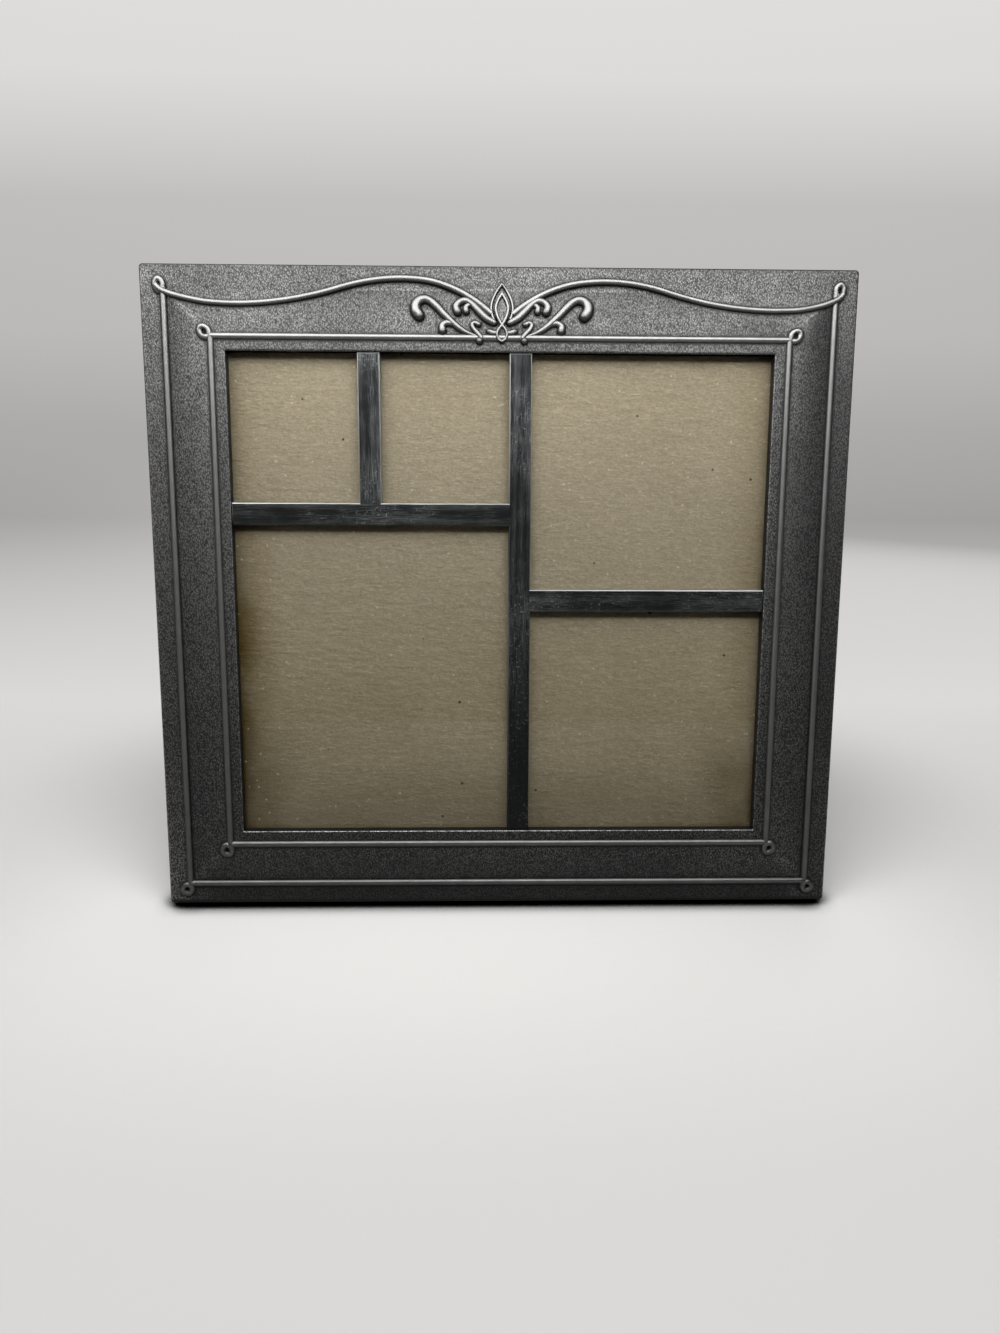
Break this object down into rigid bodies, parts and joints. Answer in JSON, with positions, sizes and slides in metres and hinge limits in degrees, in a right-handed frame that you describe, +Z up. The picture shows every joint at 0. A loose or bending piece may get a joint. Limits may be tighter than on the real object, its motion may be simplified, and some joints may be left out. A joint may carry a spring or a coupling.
{
  "type": "collage photo frame",
  "caption": "Leaning cast metal picture frame with several glazed windows, bead and scroll relief, a clipped back panel and a hinged easel leg.",
  "frame": {"origin": "centre of the footprint's bounding box, on the surface that the frame stands on", "axes": "+Z up, the picture side faces -Y, +X to the right as seen from the front"},
  "size_m": [0.2376, 0.0642, 0.2167],
  "materials": {
    "cast_pewter": "antique pewter with dark patina in the hollows and worn bright crests",
    "glass": "clear float glass",
    "chipboard": "raw grey-tan chipboard",
    "velvet": "black flocked board",
    "hinge_steel": "zinc plated",
    "rivet_steel": "nickel plated",
    "screw_steel": "zinc plated",
    "clip_steel": "stamped, zinc plated"
  },
  "bodies": {
    "frame": {"cast_frame": "cast_pewter", "glass_pane": "glass", "filler_board": "chipboard", "back_panel": "velvet", "hinge_back_leaf": "hinge_steel", "hinge_pin": "hinge_steel", "back_leaf_rivets": "rivet_steel", "clip_screws": "screw_steel"},
    "leg": {"easel_leg": "velvet", "hinge_leg_leaf": "hinge_steel", "leg_leaf_rivets": "rivet_steel"},
    "turn_clip_bottom_left_body": {"turn_clip_bottom_left": "clip_steel"},
    "turn_clip_bottom_right_body": {"turn_clip_bottom_right": "clip_steel"},
    "turn_clip_left_lower_body": {"turn_clip_left_lower": "clip_steel"},
    "turn_clip_left_upper_body": {"turn_clip_left_upper": "clip_steel"},
    "turn_clip_right_lower_body": {"turn_clip_right_lower": "clip_steel"},
    "turn_clip_right_upper_body": {"turn_clip_right_upper": "clip_steel"},
    "turn_clip_top_left_body": {"turn_clip_top_left": "clip_steel"},
    "turn_clip_top_right_body": {"turn_clip_top_right": "clip_steel"}
  },
  "joints": [
    {"name": "leg_hinge", "type": "hinge", "parent": "frame", "child": "leg", "pos_m": [0, 0.00694, 0.139], "axis": [1, 0, 0], "range_deg": [-21, 0]},
    {"name": "turn_clip_bottom_left_turn", "type": "hinge", "parent": "frame", "child": "turn_clip_bottom_left_body", "pos_m": [-0.06, -0.02323, 0.00719], "axis": [0, 0.9781, -0.2079], "range_deg": [-90, 90]},
    {"name": "turn_clip_bottom_right_turn", "type": "hinge", "parent": "frame", "child": "turn_clip_bottom_right_body", "pos_m": [0.06, -0.02323, 0.00719], "axis": [0, 0.9781, -0.2079], "range_deg": [-90, 90]},
    {"name": "turn_clip_left_lower_turn", "type": "hinge", "parent": "frame", "child": "turn_clip_left_lower_body", "pos_m": [-0.1118, -0.01323, 0.05424], "axis": [0, 0.9781, -0.2079], "range_deg": [-90, 90]},
    {"name": "turn_clip_left_upper_turn", "type": "hinge", "parent": "frame", "child": "turn_clip_left_upper_body", "pos_m": [-0.1118, 0.00964, 0.16184], "axis": [0, 0.9781, -0.2079], "range_deg": [-90, 90]},
    {"name": "turn_clip_right_lower_turn", "type": "hinge", "parent": "frame", "child": "turn_clip_right_lower_body", "pos_m": [0.1118, -0.01323, 0.05424], "axis": [0, 0.9781, -0.2079], "range_deg": [-90, 90]},
    {"name": "turn_clip_right_upper_turn", "type": "hinge", "parent": "frame", "child": "turn_clip_right_upper_body", "pos_m": [0.1118, 0.00964, 0.16184], "axis": [0, 0.9781, -0.2079], "range_deg": [-90, 90]},
    {"name": "turn_clip_top_left_turn", "type": "hinge", "parent": "frame", "child": "turn_clip_top_left_body", "pos_m": [-0.06, 0.01964, 0.20888], "axis": [0, 0.9781, -0.2079], "range_deg": [-90, 90]},
    {"name": "turn_clip_top_right_turn", "type": "hinge", "parent": "frame", "child": "turn_clip_top_right_body", "pos_m": [0.06, 0.01964, 0.20888], "axis": [0, 0.9781, -0.2079], "range_deg": [-90, 90]}
  ]
}
